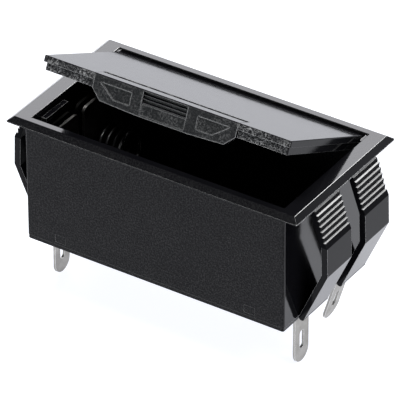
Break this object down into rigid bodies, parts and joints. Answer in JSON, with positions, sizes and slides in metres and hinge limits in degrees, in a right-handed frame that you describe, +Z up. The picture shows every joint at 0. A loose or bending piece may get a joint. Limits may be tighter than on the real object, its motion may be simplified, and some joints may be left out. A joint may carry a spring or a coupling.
{
  "type": "panel-mount battery or fuse box",
  "caption": "Panel-mount box with a bevelled flange, hinged lid with a finger catch, ribbed snap arms, contact springs and solder tags.",
  "frame": {"origin": "centre of the flange's underside, on the panel's front face", "axes": "+X along the box to the right, +Y to the hinge side, +Z up out of the panel"},
  "size_m": [0.0738, 0.0362, 0.0536],
  "materials": {
    "tub_plastic": "black moulded plastic, glossy on the flange and ends, fine spark-eroded texture on the long sides",
    "lid_plastic": "black moulded plastic, smooth on top, coarse spark-eroded texture on the front edge",
    "base_plastic": "black moulded plastic, satin",
    "contact_metal": "nickel-plated strip, rolled grain, dull",
    "spring_wire": "nickel-plated spring wire",
    "pin_steel": "turned steel"
  },
  "bodies": {
    "housing": {"housing": "tub_plastic", "base_plate": "base_plastic", "hinge_pin_left": "pin_steel", "hinge_pin_right": "pin_steel", "front_flat_contact": "contact_metal", "front_spring_contact": "contact_metal", "rear_flat_contact": "contact_metal", "rear_spring_contact": "contact_metal", "front_contact_button": "contact_metal", "rear_contact_button": "contact_metal", "front_spring_coil": "spring_wire", "rear_spring_coil": "spring_wire"},
    "lid": {"lid": "lid_plastic"},
    "lid_catch": {"lid_catch": "lid_plastic"},
    "snap_arm_front_left": {"snap_arm_front_left": "tub_plastic"},
    "snap_arm_front_right": {"snap_arm_front_right": "tub_plastic"},
    "snap_arm_rear_left": {"snap_arm_rear_left": "tub_plastic"},
    "snap_arm_rear_right": {"snap_arm_rear_right": "tub_plastic"},
    "front_spring_tip": {"front_spring_end_turn": "spring_wire"},
    "rear_spring_tip": {"rear_spring_end_turn": "spring_wire"}
  },
  "joints": [
    {"name": "lid_hinge", "type": "hinge", "parent": "housing", "child": "lid", "pos_m": [0, 0.0142, 0.0002], "axis": [-1, 0, 0], "range_deg": [-26.4, 68.6]},
    {"name": "catch_flex", "type": "hinge", "parent": "lid", "child": "lid_catch", "pos_m": [0, -0.0094, 0.01225], "axis": [1, 0, 0], "range_deg": [0, 4], "stiffness_Nm_per_rad": 0.2},
    {"name": "arm_flex_front_left", "type": "hinge", "parent": "housing", "child": "snap_arm_front_left", "pos_m": [-0.03097, -0.00698, -0.02635], "axis": [0, 1, 0], "range_deg": [0, 4.8], "stiffness_Nm_per_rad": 0.5},
    {"name": "arm_flex_front_right", "type": "hinge", "parent": "housing", "child": "snap_arm_front_right", "pos_m": [0.03097, -0.00698, -0.02635], "axis": [0, -1, 0], "range_deg": [0, 4.8], "stiffness_Nm_per_rad": 0.5},
    {"name": "arm_flex_rear_left", "type": "hinge", "parent": "housing", "child": "snap_arm_rear_left", "pos_m": [-0.03097, 0.00698, -0.02635], "axis": [0, 1, 0], "range_deg": [0, 4.8], "stiffness_Nm_per_rad": 0.5},
    {"name": "arm_flex_rear_right", "type": "hinge", "parent": "housing", "child": "snap_arm_rear_right", "pos_m": [0.03097, 0.00698, -0.02635], "axis": [0, -1, 0], "range_deg": [0, 4.8], "stiffness_Nm_per_rad": 0.5},
    {"name": "front_spring_press", "type": "slide", "parent": "housing", "child": "front_spring_tip", "axis": [1, 0, 0], "range_m": [0, 0.0022], "stiffness_N_per_m": 300, "deforming": ["front_spring_coil"]},
    {"name": "rear_spring_press", "type": "slide", "parent": "housing", "child": "rear_spring_tip", "axis": [-1, 0, 0], "range_m": [0, 0.0022], "stiffness_N_per_m": 300, "deforming": ["rear_spring_coil"]}
  ]
}
